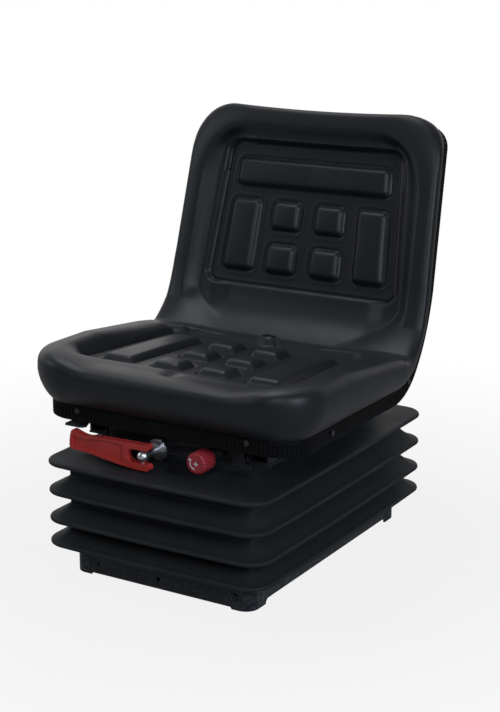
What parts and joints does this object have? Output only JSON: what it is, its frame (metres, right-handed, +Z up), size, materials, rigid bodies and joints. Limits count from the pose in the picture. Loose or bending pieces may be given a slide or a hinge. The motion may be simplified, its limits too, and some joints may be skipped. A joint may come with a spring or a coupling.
{
  "type": "tractor suspension seat",
  "caption": "Low tractor seat: one-piece padded shell on slide rails, over a scissor suspension in a rubber bellows, with a folding weight crank and a height knob.",
  "frame": {"origin": "on the floor, at the centre of the base tray's four mounting holes", "axes": "+X to the viewer's right when the seat's front is seen, the seat faces -Y, +Z up"},
  "size_m": [0.4532, 0.5102, 0.6188],
  "materials": {
    "painted_steel": "satin black paint",
    "bellows_rubber": "matte black moulded rubber",
    "bump_rubber": "matte black rubber",
    "zinc_steel": "zinc plated",
    "nylon": "natural nylon",
    "spring_steel": "dark oiled spring steel",
    "vinyl_skin": "satin black grained vinyl",
    "trim_plastic": "ribbed black edge trim",
    "crank_red": "moulded red plastic",
    "knob_red": "moulded crimson plastic"
  },
  "bodies": {
    "base": {"base_tray": "painted_steel", "base_screws": "painted_steel", "base_pivot_shaft": "zinc_steel", "bump_stops": "bump_rubber", "bellows": "bellows_rubber"},
    "outer_arm": {"outer_arms": "painted_steel", "outer_arm_rollers": "nylon", "scissor_pins": "zinc_steel"},
    "inner_arm": {"inner_arms": "painted_steel", "inner_arm_tube": "painted_steel", "inner_arm_rollers": "nylon"},
    "damper_body": {"damper_tube": "painted_steel"},
    "damper_piston": {"damper_rod": "zinc_steel"},
    "upper": {"upper_housing": "painted_steel", "front_panel": "painted_steel", "panel_screws": "zinc_steel", "upper_pivot_shaft": "zinc_steel", "upper_channels": "painted_steel", "damper_bracket": "painted_steel", "spring_yoke": "painted_steel", "tension_springs": "spring_steel", "lower_rails": "painted_steel", "rail_bolts": "zinc_steel", "rail_end_clips": "zinc_steel"},
    "spindle": {"weight_spindle": "zinc_steel"},
    "crank": {"crank_lever": "crank_red", "crank_pin": "zinc_steel"},
    "knob": {"height_knob": "knob_red", "knob_shaft": "zinc_steel"},
    "seat": {"upper_rails": "painted_steel", "rail_glides": "nylon", "seat_shell": "painted_steel", "seat_cushion": "vinyl_skin", "edge_trim": "trim_plastic", "trim_rivets": "painted_steel", "latch_pivot": "zinc_steel", "latch_spring": "spring_steel"},
    "slide_latch": {"slide_lever": "painted_steel"}
  },
  "joints": [
    {"name": "suspension_travel", "type": "slide", "parent": "base", "child": "upper", "axis": [0, 0, 1], "range_m": [-0.06, 0], "stiffness_N_per_m": 8000, "springref_m": 0.06, "deforming": ["bellows"]},
    {"name": "outer_arm_swing", "type": "hinge", "parent": "base", "child": "outer_arm", "pos_m": [0, 0.14, 0.03], "axis": [1, 0, 0], "range_deg": [0, 12]},
    {"name": "inner_arm_swing", "type": "hinge", "parent": "upper", "child": "inner_arm", "pos_m": [0, 0.14, 0.16], "axis": [1, 0, 0], "range_deg": [-12, 0], "deforming": ["tension_springs"]},
    {"name": "damper_swing", "type": "hinge", "parent": "base", "child": "damper_body", "pos_m": [0.042, 0.11, 0.03], "axis": [1, 0, 0], "range_deg": [0, 13]},
    {"name": "damper_stroke", "type": "slide", "parent": "damper_body", "child": "damper_piston", "axis": [0, -0.8523, 0.523], "range_m": [-0.027, 0]},
    {"name": "seat_slide", "type": "slide", "parent": "upper", "child": "seat", "axis": [0, 1, 0], "range_m": [-0.075, 0.075]},
    {"name": "slide_lever_swing", "type": "hinge", "parent": "seat", "child": "slide_latch", "pos_m": [-0.1535, 0.02, 0.214], "axis": [0, 0, 1], "range_deg": [-6, 0], "stiffness_Nm_per_rad": 2, "springref_deg": 17.19},
    {"name": "weight_spindle_turn", "type": "hinge", "parent": "upper", "child": "spindle", "pos_m": [-0.026, -0.2, 0.19], "axis": [0, 1, 0], "range_deg": [-3, 0.8]},
    {"name": "crank_fold", "type": "hinge", "parent": "spindle", "child": "crank", "pos_m": [-0.026, -0.2135, 0.19], "axis": [0, 0, 1], "range_deg": [0, 90]},
    {"name": "height_knob_turn", "type": "hinge", "parent": "upper", "child": "knob", "pos_m": [0.06, -0.2, 0.195], "axis": [0, 1, 0], "continuous": true}
  ],
  "couplings": [
    {"joint": "outer_arm_swing", "follows": "suspension_travel", "rad_per_m": -3.4321},
    {"joint": "inner_arm_swing", "follows": "suspension_travel", "rad_per_m": 3.4321},
    {"joint": "damper_swing", "follows": "suspension_travel", "rad_per_m": -3.6972},
    {"joint": "damper_stroke", "follows": "suspension_travel", "ratio": 0.42809}
  ]
}
